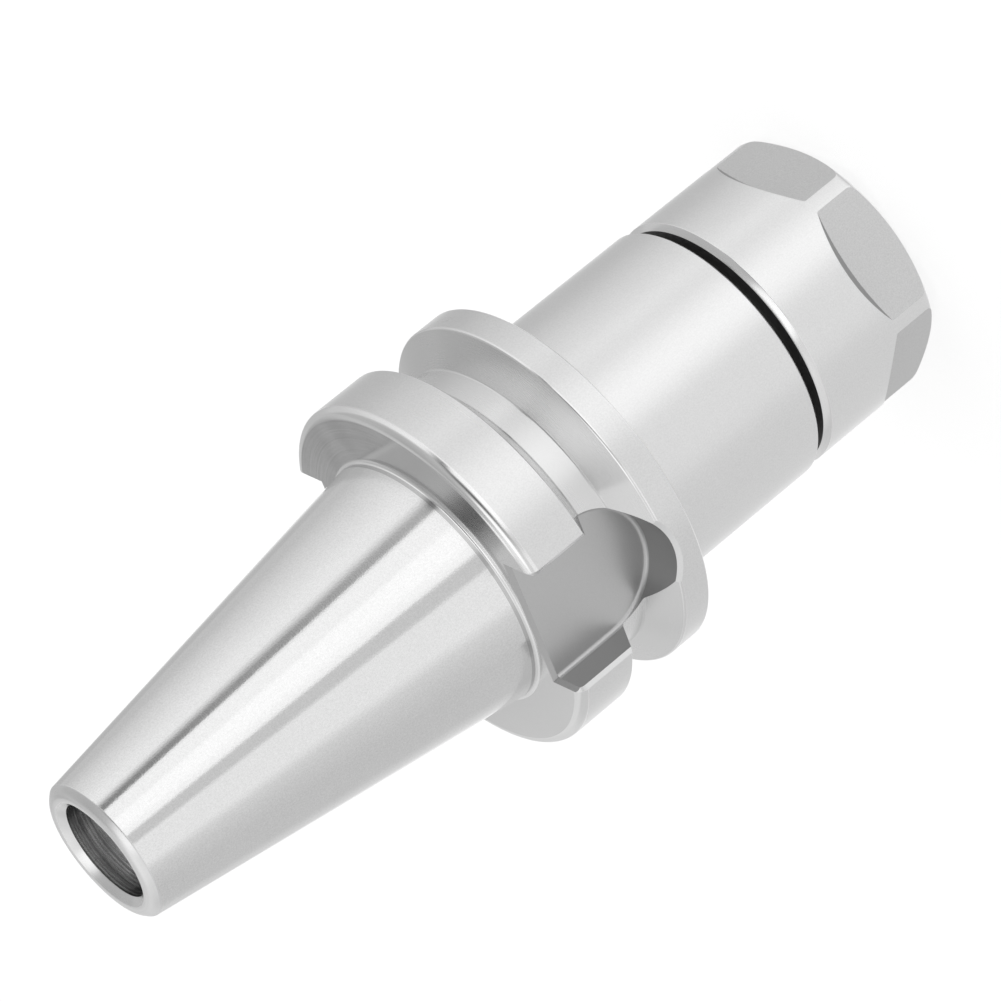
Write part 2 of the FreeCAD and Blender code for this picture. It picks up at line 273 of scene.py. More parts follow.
def make_world():
    """White to the camera, the tent to the metal, and even light to the rest."""
    world = bpy.data.worlds.new("light_tent")
    world.use_nodes = True
    tree = world.node_tree
    tree.nodes.clear()
    direction = node(tree, "TexCoord").outputs["Generated"]
    axes = node(tree, "SeparateXYZ", {0: direction}).outputs
    angle = calc(tree, "ARCTAN2", axes["Y"], axes["X"])
    around = calc(tree, "MULTIPLY_ADD", angle, 1 / math.tau, 0.5)
    tent = sheets_ramp(tree, around, RINGS[0][1])
    for (low, sheets), (high, next_sheets) in zip(RINGS, RINGS[1:]):
        if sheets is next_sheets:
            continue
        rise = span(tree, axes["Z"], low, high)
        ring = sheets_ramp(tree, around, next_sheets)
        tent = node(tree, "MixRGB", {0: rise, 1: tent, 2: ring}).outputs[0]
    opened = calc(tree, "SUBTRACT", span(tree, axes["Z"], *GAP_FOOT), span(tree, axes["Z"], *GAP_HEAD))
    dark = calc(tree, "MULTIPLY", calc(tree, "MULTIPLY", opened, GAP_DEPTH), sheets_ramp(tree, around, GAP))
    tent = node(tree, "MixRGB", {0: dark, 1: tent, 2: grey(0.0)}).outputs[0]
    level = math.cos(BOX_ELEVATION)
    box = (level * math.cos(BOX_ANGLE), level * math.sin(BOX_ANGLE), math.sin(BOX_ELEVATION))
    near_box = node(tree, "VectorMath", {0: direction, 1: box}, operation="DOT_PRODUCT").outputs["Value"]
    box_glow = calc(tree, "MULTIPLY", span(tree, near_box, *BOX_EDGE), BOX_BRIGHTNESS)
    tent = node(tree, "MixRGB", {0: 1.0, 1: tent, 2: box_glow}, blend_type="ADD").outputs[0]
    ray = node(tree, "LightPath").outputs
    shiny = calc(tree, "MAXIMUM", ray["Is Glossy Ray"], ray["Is Transmission Ray"])
    lit = node(tree, "MixRGB", {0: shiny, 1: grey(EVEN_LIGHT), 2: tent}).outputs[0]
    seen = node(tree, "MixRGB", {0: ray["Is Camera Ray"], 1: lit, 2: grey(1.0)}).outputs[0]
    background = node(tree, "Background", {"Color": seen, "Strength": 1.0})
    tree.links.new(background.outputs[0], node(tree, "OutputWorld").inputs["Surface"])
    bpy.context.scene.world = world


make_world()
print("the soft box is", round(math.degrees(BOX_ELEVATION)), "degrees up")

# %% [markdown]
# The holder stands on a plain pale floor. The floor glows a little for the camera, so it comes out
# white and still keeps a soft shadow. It is left out of reflections, because the tent's cloth goes
# on below it. The camera also sees through it a good part of the way, as through frosted film, so
# the nut still shows when it is screwed down past it, and the holder shows from below.

# %% Lay the floor and hang one soft lamp
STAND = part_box("clamping_nut")[0][2]
FLOOR_RADIUS = 4.0
FLOOR_SEGMENTS = 96
FLOOR_COLOUR = 0.75
FLOOR_VARIATION = 0.02
FLOOR_SPECKS = 900.0
FLOOR_GLOW = 0.35
FLOOR_CLEAR = 0.7
LAMP_PLACE = (-0.15, 0.25, 0.9)
LAMP_SIZE = 0.8
LAMP_POWER = 1.5


def make_floor():
    """A wide round floor, white in the picture apart from the holder's shadow."""
    mesh = bpy.data.meshes.new("floor")
    shape = bmesh.new()
    bmesh.ops.create_circle(shape, cap_ends=True, segments=FLOOR_SEGMENTS, radius=FLOOR_RADIUS)
    bmesh.ops.translate(shape, verts=shape.verts, vec=(0, 0, STAND))
    shape.to_mesh(mesh)
    shape.free()
    floor = bpy.data.objects.new("floor", mesh)
    bpy.context.scene.collection.objects.link(floor)
    material, tree = new_material("pale_floor")
    coordinates = node(tree, "TexCoord").outputs["Object"]
    specks = node(tree, "TexNoise", {"Vector": coordinates, "Scale": FLOOR_SPECKS}).outputs[0]
    pale = grey(FLOOR_COLOUR + FLOOR_VARIATION)
    colour = node(tree, "MixRGB", {0: specks, 1: grey(FLOOR_COLOUR), 2: pale})
    matt = node(tree, "BsdfDiffuse", {"Color": colour.outputs[0]})
    ray = node(tree, "LightPath").outputs
    glow_level = calc(tree, "MULTIPLY", ray["Is Camera Ray"], FLOOR_GLOW)
    glow = node(tree, "Emission", {"Strength": glow_level})
    both = node(tree, "AddShader", {0: matt.outputs[0], 1: glow.outputs[0]})
    clear = calc(tree, "MULTIPLY", ray["Is Camera Ray"], FLOOR_CLEAR)
    beyond = node(tree, "BsdfTransparent")
    film = node(tree, "MixShader", {0: clear, 1: both.outputs[0], 2: beyond.outputs[0]})
    tree.links.new(film.outputs[0], node(tree, "OutputMaterial").inputs["Surface"])
    mesh.materials.append(material)
    floor.visible_glossy = False


def make_lamp():
    """One large soft lamp overhead, which gives the floor its soft shadow."""
    data = bpy.data.lights.new("soft_lamp", "AREA")
    data.shape = "DISK"
    data.size = LAMP_SIZE
    data.energy = LAMP_POWER
    lamp = bpy.data.objects.new("soft_lamp", data)
    lamp.location = LAMP_PLACE
    # A lamp shines along its own -Z, so that is turned towards the origin
    lamp.rotation_euler = (-lamp.location).to_track_quat("-Z", "Y").to_euler()
    lamp.visible_glossy = False
    bpy.context.scene.collection.objects.link(lamp)


make_floor()
make_lamp()
print("the floor is at", round(STAND, 4), "m")

# %% [markdown]
# Every finish here is steel, so one recipe makes them all. What changes is how the surface was cut, and a
# few finishes are darker steel that is painted shade: the neck by the flange, the threads and the gap, the
# keyway mouth and the milled walls.
# A turned or ground surface has fine marks that run round the axis, so it scatters light far more
# along the axis than round it. That is an anisotropic shader, with a tangent that runs round Z and
# is turned a quarter, so that the reflections stretch across the marks.
# The marks themselves come from noise that is squeezed along the axis and drawn out round it. A
# second noise, even in all directions, gives the grain, and both move the surface (bump). The marks
# and a third, cloudy noise vary its roughness, and all three vary its brightness a little.

# %% One recipe for steel
MICROMETRE = 1e-6
QUARTER_TURN = 0.25
# How often each noise varies in a metre: the turned marks round the axis, the milled marks in X, Y
# and Z, and the clouds
MARKS_ROUND_AXIS = 60.0
MILLED_MARKS = (700, 700, 5000)
CLOUDS = 160.0
# How far marks and clouds change the steel's brightness
DRIFT = 0.04


def lathe_position(tree):
    """Object coordinates, their three parts, and height less radius, which tells the marks apart."""
    coordinates = node(tree, "TexCoord").outputs["Object"]
    axes = node(tree, "SeparateXYZ", {0: coordinates}).outputs
    squares = [calc(tree, "POWER", axes[name], 2.0) for name in ("X", "Y")]
    radius = calc(tree, "SQRT", calc(tree, "ADD", *squares))
    along = calc(tree, "SUBTRACT", axes["Z"], radius)
    return coordinates, axes, along


def noise(tree, vector, scale, detail):
    """Noise that runs evenly either side of 0, from -0.5 to 0.5."""
    texture = node(tree, "TexNoise", {"Vector": vector, "Scale": scale, "Detail": detail})
    return calc(tree, "SUBTRACT", texture.outputs[0], 0.5)


def steel(name, colour, roughness, stretch, marks, mark_width=0.17, grain=0.6, grain_size=0.12,
          unevenness=0.05, speckle=0.06, rings=0.0, turned_marks=True):
    """A steel finish. Marks and grain are heights in micrometres, and their sizes are in millimetres."""
    material, tree = new_material(name)
    coordinates, axes, along = lathe_position(tree)
    if turned_marks:
        squeezed = node(tree, "CombineXYZ", {
            "X": calc(tree, "MULTIPLY", axes["X"], MARKS_ROUND_AXIS),
            "Y": calc(tree, "MULTIPLY", axes["Y"], MARKS_ROUND_AXIS),
            "Z": calc(tree, "DIVIDE", along, mark_width * MM),
        }).outputs[0]
    else:
        squeezed = node(tree, "Mapping", {0: coordinates, "Scale": MILLED_MARKS}).outputs[0]
    lines = noise(tree, squeezed, 1.0, 3.0)
    specks = noise(tree, coordinates, 1 / (grain_size * MM), 2.0)
    clouds = noise(tree, coordinates, CLOUDS, 3.0)
    height = calc(tree, "MULTIPLY_ADD", lines, marks, calc(tree, "MULTIPLY", specks, grain))
    bump = node(tree, "Bump", {"Height": height, "Strength": 1.0, "Distance": MICROMETRE})
    uneven = calc(tree, "ADD", lines, clouds)
    rough = calc(tree, "MULTIPLY_ADD", uneven, unevenness * 2, roughness, use_clamp=True)
    drift = calc(tree, "MULTIPLY", uneven, DRIFT)
    sparkle = calc(tree, "MULTIPLY_ADD", specks, speckle * 2, drift)
    ringed = calc(tree, "MULTIPLY_ADD", lines, rings, sparkle)
    level = calc(tree, "MULTIPLY_ADD", ringed, colour, colour)
    base = node(tree, "CombineColor", {0: level, 1: level, 2: level}).outputs[0]
    shader = node(tree, "BsdfPrincipled", {
        "Base Color": base, "Metallic": 1.0, "Roughness": rough, "Normal": bump.outputs[0]})
    if stretch:
        shader.inputs["Anisotropic"].default_value = stretch
        shader.inputs["Anisotropic Rotation"].default_value = QUARTER_TURN
        round_z = node(tree, "Tangent", direction_type="RADIAL", axis="Z")
        tree.links.new(round_z.outputs[0], shader.inputs["Tangent"])
    tree.links.new(shader.outputs[0], node(tree, "OutputMaterial").inputs["Surface"])
    return material


FINISHES = {
    "ground_taper": steel("ground_taper", 0.88, 0.13, 0.80, marks=1.0, mark_width=0.12,
                          grain=3.0, grain_size=0.20, speckle=0.14, unevenness=0.03),
    "turned_nose": steel("turned_nose", 0.87, 0.32, 0.45, marks=1.6,
                         grain=2.4, grain_size=0.18, speckle=0.10),
    "turned_land": steel("turned_land", 0.82, 0.30, 0.45, marks=1.6,
                         grain=2.4, grain_size=0.18, speckle=0.12),
    "turned_face": steel("turned_face", 0.82, 0.16, 0.30, marks=1.2),
    "end_round": steel("end_round", 0.90, 0.30, 0.30, marks=0.8),
    "end_face": steel("end_face", 0.96, 0.34, 0.0, marks=1.0),
    "bright_edge": steel("bright_edge", 0.90, 0.26, 0.30, marks=0.8),
    "polished_edge": steel("polished_edge", 0.94, 0.19, 0.20, marks=0.4, grain=0.3),
    # The neck's darker steel is painted shade beside the fillet at the flange.
    "neck_steel": steel("neck_steel", 0.62, 0.20, 0.70, marks=1.2),
    "groove_steel": steel("groove_steel", 0.80, 0.26, 0.50, marks=0.7, mark_width=0.12),
    "milled_keyway": steel("milled_keyway", 0.61, 0.38, 0.0, marks=1.2, turned_marks=False),
    # The keyway mouth's darker steel is painted shade on the floor's bevel.
    "mouth_painted_shade": steel("mouth_painted_shade", 0.52, 0.38, 0.0, marks=1.2, turned_marks=False),
    # The walls' darker steel is painted shade on the walls of keyways, flats and slots.
    "wall_painted_shade": steel("wall_painted_shade", 0.40, 0.34, 0.0, marks=1.2, turned_marks=False),
    "milled_edge": steel("milled_edge", 0.88, 0.34, 0.0, marks=3.0, grain=3.0, turned_marks=False),
    "milled_flat": steel("milled_flat", 0.72, 0.58, 0.0, marks=0.8, turned_marks=False,
                         grain=3.0, grain_size=0.16, speckle=0.14),
    "bored_steel": steel("bored_steel", 0.72, 0.20, 0.60, marks=24.0, mark_width=0.22, rings=2.4),
    # The threads' dark steel is painted shade, for the gap between nut and nose and the hollows of the
    # threads.
    "thread_steel": steel("thread_steel", 0.34, 0.42, 0.0, marks=2.0),
    "collet_steel": steel("collet_steel", 0.80, 0.28, 0.50, marks=1.0),
    "black_oxide": steel("black_oxide", 0.06, 0.42, 0.0, marks=1.0, grain=1.5),
}
MILLED = {"milled_keyway", "mouth_painted_shade", "wall_painted_shade", "milled_edge", "milled_flat"}
print(len(FINISHES), "steel finishes")

# %% [markdown]
# A holder is a lathe part, so its mesh is an outline spun round the axis. The outline is a closed
# list of (radius, height) points in millimetres, with an optional third number for the radius of the
# corner. A word before a point names the finish of the edges from there on, and a word inside a point
# gives its rounded corner a finish of its own.
# No machined edge is perfectly sharp: a fitter breaks it, and the tiny round catches the light as a
# thin line. So a corner with no radius of its own gets a very small one.

# %% Round the corners of an outline
EDGE_BREAK = 0.07
# Where half of a corner's angle is more than this, the outline runs straight on
STRAIGHT_ON = math.radians(88)
# A round takes at most this share of the shorter edge beside it
ROOM_SHARE = 0.45
SMALL_ROUND = 0.2
FEWEST_STEPS = 3
STEP_ANGLE = 12.0


def corner_arc(before, corner, after, radius):
    """The points of a rounded corner, or the corner alone where the outline runs straight on."""
    back = before - corner
    ahead = after - corner
    half = back.angle(ahead) / 2
    if half > STRAIGHT_ON or radius <= 0:
        return [corner]
    room = ROOM_SHARE * min(back.length, ahead.length)
    reach = min(radius / math.tan(half), room)
    radius = reach * math.tan(half)
    back.normalize()
    ahead.normalize()
    centre = corner + (back + ahead).normalized() * (radius / math.sin(half))
    start = corner + back * reach - centre
    turn = start.angle_signed(corner + ahead * reach - centre)
    steps = FEWEST_STEPS
    if radius >= SMALL_ROUND:
        steps = max(steps, math.ceil(abs(math.degrees(turn)) / STEP_ANGLE))
    arc = []
    for i in range(steps + 1):
        angle = -turn * i / steps
        arc.append(centre + Matrix.Rotation(angle, 2) @ start)
    return arc


square_corner = corner_arc(Vector((0, 5)), Vector((0, 0)), Vector((5, 0)), 1.0)
print("a 1 mm corner has", len(square_corner), "points, from",
      tuple(square_corner[0]), "to", tuple(square_corner[-1]))

# %% [markdown]
# A screw thread isn't a stack of rings, so it can't be spun. Its rows of points climb one pitch in
# each turn, and the row that leaves the last facet is the row above on the first one. A metric
# thread has a narrow flat on its crest, a wider one at its root, and flanks at 60 degrees between.
# Every thread here starts from the same place on the axis, so a nut's thread lies in its screw's.

# %% Cut a thread between two rings
CREST_END = 1 / 8
ROOT_START = 7 / 16
ROOT_END = 11 / 16
THREAD_STARTS = (0.0, CREST_END, ROOT_START, ROOT_END)
ROWS = len(THREAD_STARTS)
SPARE_TURNS = 2
# A row that is this near to an end's ring, or beyond it, joins the ring
JOIN_RING = 0.01


class Thread:
    """A thread's pitch, its radius at phase zero (the screw's crest), and its radius half a turn on."""

    def __init__(self, pitch, crest, root, internal=False):
        self.pitch = pitch
        self.radii = (crest, crest, root, root)
        self.internal = internal

    def radius(self, row, height, low, high):
        """Radius of a row at a height, held back by 45 degree countersinks at both ends."""
        own = self.radii[row % ROWS]
        from_low = height - low.y
        from_high = high.y - height
        if self.internal:
            return max(own, low.x - from_low, high.x - from_high)
        return min(own, low.x + from_low, high.x + from_high)


def thread_faces(vertices, thread, low, high, low_ring, high_ring):
    """Adds a thread's points, and returns its faces between a low and a high ring."""
    facets = len(low_ring)
    first = ROWS * (math.floor(low.y / thread.pitch) - SPARE_TURNS)
    last = ROWS * (math.ceil(high.y / thread.pitch) + SPARE_TURNS)
    rows = {}
    for row in range(first, last + 1):
        start = (row // ROWS + THREAD_STARTS[row % ROWS]) * thread.pitch
        rows[row] = []
        for i in range(facets):
            height = start + thread.pitch * i / facets
            if height < low.y + JOIN_RING:
                rows[row].append(low_ring[i])
            elif height > high.y - JOIN_RING:
                rows[row].append(high_ring[i])
            else:
                angle = math.tau * i / facets
                radius = thread.radius(row, height, low, high)
                rows[row].append(len(vertices))
                vertices.append((radius * math.cos(angle), radius * math.sin(angle), height))
    faces = []
    for row in range(first, last - ROWS):
        for i in range(facets):
            step, column = (ROWS, 0) if i + 1 == facets else (0, i + 1)
            corners = [rows[row][i], rows[row + step][column],
                       rows[row + step + 1][column], rows[row + 1][i]]
            corners = list(dict.fromkeys(corners))
            if len(corners) > 2:
                faces.append(corners)
    return faces


print("thread rows start at", THREAD_STARTS, "of a pitch")

# %% [markdown]
# Now the lathe itself. It walks along the outline, rounds each corner, makes a ring of points at
# each step, and joins each ring to the next with four-sided faces, or with a thread.

# %% The lathe
def read_outline(outline):
    """Splits an outline into points, corner radii and finishes, and the finish and thread of each edge."""
    points = []
    radii = []
    rounds = []
    edges = []
    finish = None
    thread = None
    for item in outline:
        if isinstance(item, str):
            finish = item
        elif isinstance(item, Thread):
            thread = item
        else:
            points.append(Vector(item[:2]))
            radii.append(item[2] if len(item) > 2 else EDGE_BREAK)
            rounds.append(item[3] if len(item) > 3 else finish)
            edges.append((finish, thread))
            thread = None
    for i in range(len(points)):
        if edges[i][1] or edges[i - 1][1]:
            radii[i] = 0.0
    return points, radii, rounds, edges


def turned(name, outline, facets):
    """Spins a closed outline round the axis, and gives each strip of faces its finish."""
    points, radii, rounds, edges = read_outline(outline)
    count = len(points)
    stations = []
    for i in range(count):
        arc = corner_arc(points[i - 1], points[i], points[(i + 1) % count], radii[i])
        for place in arc[:-1]:
            stations.append((place, (rounds[i], None)))
        stations.append((arc[-1], edges[i]))
    vertices = []
    rings = []
    for place, edge in stations:
        rings.append(list(range(len(vertices), len(vertices) + facets)))
        for i in range(facets):
            angle = math.tau * i / facets
            vertices.append((place.x * math.cos(angle), place.x * math.sin(angle), place.y))
    faces = []
    finishes = []
    for k, (place, (finish, thread)) in enumerate(stations):
        following = (k + 1) % len(stations)
        ring = rings[k]
        beyond = rings[following]
        if thread:
            end = stations[following][0]
            low, high = (place, end) if place.y < end.y else (end, place)
            low_ring, high_ring = (ring, beyond) if place.y < end.y else (beyond, ring)
            strip = thread_faces(vertices, thread, low, high, low_ring, high_ring)
        else:
            strip = []
            for i in range(facets):
                ahead = (i + 1) % facets
                strip.append([ring[i], ring[ahead], beyond[ahead], beyond[i]])
        faces += strip
        finishes += [finish] * len(strip)
    return make_piece(name, vertices, faces, finishes)


def make_piece(name, vertices, faces, finishes):
    """Makes a closed mesh, in metres, with one material slot for each finish."""
    mesh = bpy.data.meshes.new(name)
    mesh.from_pydata([Vector(vertex) * MM for vertex in vertices], [], faces)
    slots = list(dict.fromkeys(finishes))
    for finish in slots:
        mesh.materials.append(FINISHES[finish])
    mesh.polygons.foreach_set("material_index", [slots.index(finish) for finish in finishes])
    shape = bmesh.new()
    shape.from_mesh(mesh)
    bmesh.ops.recalc_face_normals(shape, faces=shape.faces)
    open_edges = sum(1 for edge in shape.edges if len(edge.link_faces) != 2)
    shape.to_mesh(mesh)
    shape.free()
    piece = bpy.data.objects.new(name, mesh)
    bpy.context.scene.collection.objects.link(piece)
    print(name, len(mesh.vertices), "points,", len(mesh.polygons), "faces, open edges", open_edges)
    return piece


# %% [markdown]
# Keyways, spanner flats, saw slots and the hexagon socket are milled after turning. Each is a solid
# cutter that is taken away from the turned piece with a boolean. The cutter's own material stays on
# the surfaces that it leaves, as a mill leaves its own marks. The walls it leaves are painted darker
# steel, which is painted shade.

# %% Mill with a cutter, and shade the result
SHARP_ANGLE = math.radians(33)
ON_AXIS = 1e-6


def settle(piece):
    """Replaces a piece's mesh with what its modifiers make of it."""
    graph = bpy.context.evaluated_depsgraph_get()
    made = bpy.data.meshes.new_from_object(piece.evaluated_get(graph), depsgraph=graph)
    old = piece.data
    piece.modifiers.clear()
    piece.data = made
    made.name = piece.name
    bpy.data.meshes.remove(old)


def mill(piece, cutter):
    """Takes a cutter away from a piece."""
    cut = piece.modifiers.new("mill", "BOOLEAN")
    cut.operation = "DIFFERENCE"
    cut.solver = "MANIFOLD"
    cut.object = cutter
    cut.material_mode = "TRANSFER"
    settle(piece)
    bpy.data.objects.remove(cutter)
    shape = bmesh.new()
    shape.from_mesh(piece.data)
    open_edges = sum(1 for edge in shape.edges if len(edge.link_faces) != 2)
    shape.free()
    print(piece.name, "milled:", len(piece.data.polygons), "faces, open edges", open_edges)


def shade(piece):
    """Smooths round surfaces, keeps real edges crisp, and makes turned normals exactly radial."""
    mesh = piece.data
    mesh.shade_smooth()
    mesh.set_sharp_from_angle(angle=SHARP_ANGLE)
    weighted = piece.modifiers.new("normals", "WEIGHTED_NORMAL")
    weighted.keep_sharp = True
    settle(piece)
    mesh = piece.data
    normals = [normal.vector.copy() for normal in mesh.corner_normals]
    for face in mesh.polygons:
        if mesh.materials[face.material_index].name in MILLED:
            continue
        for corner in face.loop_indices:
            point = mesh.vertices[mesh.loops[corner].vertex_index].co
            side = Vector((-point.y, point.x, 0))
            if side.length < ON_AXIS:
                continue
            side.normalize()
            normals[corner] = (normals[corner] - side * normals[corner].dot(side)).normalized()
    mesh.normals_split_custom_set(normals)


print("edges sharper than", round(math.degrees(SHARP_ANGLE)), "degrees stay crisp")

# %% [markdown]
# The body is one piece of steel from the small end of the shank to the threaded tip that the nut
# screws on. Its outline goes down the outside and comes back up through the bore: the collet's
# cone, the stop screw's thread, the coolant hole, the pull stud's thread and its wide mouth.

# %% Turn the body
NOSE_THREAD = Thread(1.5, 12.47, 11.66)
NUT_THREAD = Thread(1.5, 12.53, 11.72, internal=True)
SCREW_THREAD = Thread(1.0, 5.97, 5.43)
SCREW_HOLE_THREAD = Thread(1.0, 6.03, 5.49, internal=True)
STUD_THREAD = Thread(1.75, 6.03, 5.10, internal=True)
BODY_FACETS = 192
RIM = 23.0
RIM_FRONT = -2.0
RIM_ROUND = 1.15

BODY_OUTLINE = [
    "end_round", (8.133, 48.4, 1.2),
    "ground_taper", (8.933, 47.6, 0.35, "end_round"),
    # The taper's last strip before the flange is painted darker: painted shade beside the fillet.
    "neck_steel", (16.05, -1.2),
    "turned_face", (16.167, RIM_FRONT, 0.45, "polished_edge"),
    "turned_land", (RIM, RIM_FRONT, RIM_ROUND, "polished_edge"),
    "bright_edge", (RIM, -9.85),
    "groove_steel", (22.85, -10.0), (19.0, -12.31, 0.4), (19.0, -15.69, 0.4),
    "turned_land", (RIM, -18.17, 0.4, "polished_edge"),
    "bright_edge", (RIM, -21.8, 0.12),
    "turned_face", (22.8, -22.0, 0.12),
    "turned_nose", (17.05, -22.0, 1.0),
    "bright_edge", (17.05, -45.5),
    # The shoulder in the gap and the nose thread are painted dark steel: painted shade of the gap.
    "thread_steel", (16.75, -45.8), (11.45, -45.8, 0.5),
    NOSE_THREAD, (11.45, -48.4),
    (11.2, -60.0),
    "collet_steel", (10.393, -60.0),
    # The threads in the bore are painted dark steel too: painted shade.
    "thread_steel", SCREW_HOLE_THREAD, (6.598, -33.0),
    "bored_steel", (5.725, -11.0),
    (3.5, -9.663), (3.5, 13.439), (5.1, 14.4),
    STUD_THREAD, (5.1, 16.4),
    (6.25, 41.4),
    "bright_edge", (6.25, 47.6),
    "end_face", (7.05, 48.4),
]
body = turned("chuck_body", BODY_OUTLINE, BODY_FACETS)

# %% [markdown]
# The two drive keyways are cut by an end mill that comes in from the shank's side, so each has flat
# walls, a round end, and a small radius where the floor meets the wall. Their outer edges are
# broken with a chamfer that follows the round of the flange, so the cutter flares there: each layer
# of the cutter is the mill's path, a little wider than the one below. A second, wedge-shaped cutter
# breaks the edges round the open end, on the flange's face.

# %% Mill the keyways
KEYWAY_HALF = 8.05
KEYWAY_FLOOR = 17.0
KEYWAY_FILLET = 0.5
KEYWAY_MOUTH = 0.2
KEYWAY_TURN = -10.95
KEYWAY_EDGE = 0.5
FLARE = 1.2
FILLET_STEPS = 5
PATH_STEPS = 48
# The rim's round is followed almost up to the flange's face, where it would turn flat
RIM_REACH = 0.97 * RIM_ROUND
RIM_ANGLES = range(75, -1, -15)
KEYWAY_TOP = RIM + 4
MOUTH_EDGE = 0.5
MOUTH_CLEAR = 0.05
MOUTH_TOP = RIM + 2
# The wedge's faces are its small end, its four sides and its large end. The last side bevels the floor
FLOOR_SIDE = 4


def rim_radius(z):
    """The flange's radius at a height, with its rounded front edge."""
    over = min(max(z - (RIM_FRONT - RIM_ROUND), 0), RIM_REACH)
    return RIM - RIM_ROUND + math.sqrt(RIM_ROUND ** 2 - over ** 2)


def keyway_path(wider):
    """The mill's path seen from outside, made wider all round."""
    reach = KEYWAY_HALF + wider
    heights = [KEYWAY_MOUTH]
    heights += [RIM_FRONT - RIM_ROUND * (1 - math.sin(math.radians(angle))) for angle in RIM_ANGLES]
    path = [(-reach, z) for z in heights]
    for i in range(PATH_STEPS + 1):
        angle = math.pi * (1 + i / PATH_STEPS)
        path.append((reach * math.cos(angle), KEYWAY_TURN + reach * math.sin(angle)))
    path += [(reach, z) for z in reversed(heights)]
    return path


def stacked(layers, floor, walls):
    """A closed solid made of layers with equal counts of points. Each wall band has its own finish."""
    vertices = [point for layer in layers for point in layer]
    count = len(layers[0])
    faces = [list(range(count))]
    finishes = [floor]
    for k in range(len(layers) - 1):
        for i in range(count):
            ahead = (i + 1) % count
            faces.append([k * count + i, k * count + ahead,
                          (k + 1) * count + ahead, (k + 1) * count + i])
            finishes.append(walls[min(k, len(walls) - 1)])
    faces.append([(len(layers) - 1) * count + i for i in range(count)])
    finishes.append(walls[-1])
    return vertices, faces, finishes


def keyway_solid(side):
    """One keyway cutter, layer by layer outward from its floor. Side is 1 or -1."""
    layers = []
    for i in range(FILLET_STEPS + 1):
        angle = math.radians(90 * i / FILLET_STEPS)
        height = KEYWAY_FLOOR + KEYWAY_FILLET * (1 - math.cos(angle))
        path = keyway_path(KEYWAY_FILLET * (math.sin(angle) - 1))
        layers.append([(side * height, side * y, z) for y, z in path])
    for wider, beyond in ((0.0, -KEYWAY_EDGE), (KEYWAY_EDGE + FLARE, FLARE)):
        layer = []
        for y, z in keyway_path(wider):
            height = math.sqrt(rim_radius(z) ** 2 - y ** 2) + beyond
            layer.append((side * height, side * y, z))
        layers.append(layer)
    layers.append([(side * KEYWAY_TOP, side * y, z) for y, z in keyway_path(KEYWAY_EDGE + FLARE)])
    # The keyway walls are painted darker steel: painted shade.
    walls = ["milled_keyway"] * FILLET_STEPS + ["wall_painted_shade", "milled_edge"]
    return stacked(layers, "milled_keyway", walls)


def mouth_solid(side):
    """The wedge that bevels the edges round one keyway's open end."""
    layers = []
    for wider in (0.0, MOUTH_EDGE + MOUTH_CLEAR):
        z = RIM_FRONT - MOUTH_EDGE + wider
        inner = KEYWAY_FLOOR - wider
        reach = KEYWAY_HALF + wider
        corners = ((inner, -reach), (MOUTH_TOP, -reach), (MOUTH_TOP, reach), (inner, reach))
        layers.append([(side * x, side * y, z) for x, y in corners])
    # The wedge's walls are painted darker steel: painted shade.
    vertices, faces, finishes = stacked(layers, "wall_painted_shade", ["wall_painted_shade"])
    # The floor's bevel is painted darker steel: painted shade.
    finishes[FLOOR_SIDE] = "mouth_painted_shade"
    return vertices, faces, finishes


def cutter(solids):
    """One cutter made of solids that don't touch each other."""
    vertices = []
    faces = []
    finishes = []
    for some_vertices, some_faces, some_finishes in solids:
        faces += [[len(vertices) + corner for corner in face] for face in some_faces]
        vertices += some_vertices
        finishes += some_finishes
    return make_piece("cutter", vertices, faces, finishes)


mill(body, cutter([keyway_solid(side) for side in (1, -1)]))
mill(body, cutter([mouth_solid(side) for side in (1, -1)]))
shade(body)

# %% [markdown]
# The nut is turned as the body is, and its thread fits the body's. Inside it, behind the steep cone
# that pushes the collet in, is a lip that pulls the collet out again. The lip is bored off centre,
# so that a collet can be tipped into it. Six short flats for a spanner are milled by a wide cutter
# whose round shows where each flat ends.

# %% Turn and mill the nut
NUT_FACETS = 240
NUT_OUTLINE = [
    "turned_face", (8.719, -66.8),
    "turned_nose", (14.0, -66.8), (16.8, -65.118, 1.3),
    "polished_edge", (16.8, -47.98, 0.12),
    # The nut's inner face and thread are painted dark steel: painted shade of the gap.
    "thread_steel", (16.12, -47.3), (12.8, -47.3),
    NUT_THREAD, (12.8, -48.9),
    (12.6, -61.3), (11.4, -61.3), (11.4, -61.095),
    "collet_steel", (9.3, -61.095), (9.3, -62.855), (10.45, -62.855), (10.45, -63.802),
]
FLAT_COUNT = 6
FLAT_DISTANCE = 15.0
FLAT_TOP = -58.8
FLAT_FOOT = -70.0
FLAT_CUTTER_RADIUS = 36.0
FLAT_CUTTER_HEIGHT = 5.0
FLAT_HALF_WIDTH = 8.6
FLAT_STEPS = 40
FLAT_WALL_ANGLE = math.radians(40)
FLAT_WALL_FOOT = 0.3
FOOT_STEPS = 4
FIRST_FLAT = 28.0
LIP_RADIUS = 9.95
LIP_OFFSET = 0.55
LIP_CUT = (-62.9, -61.0)


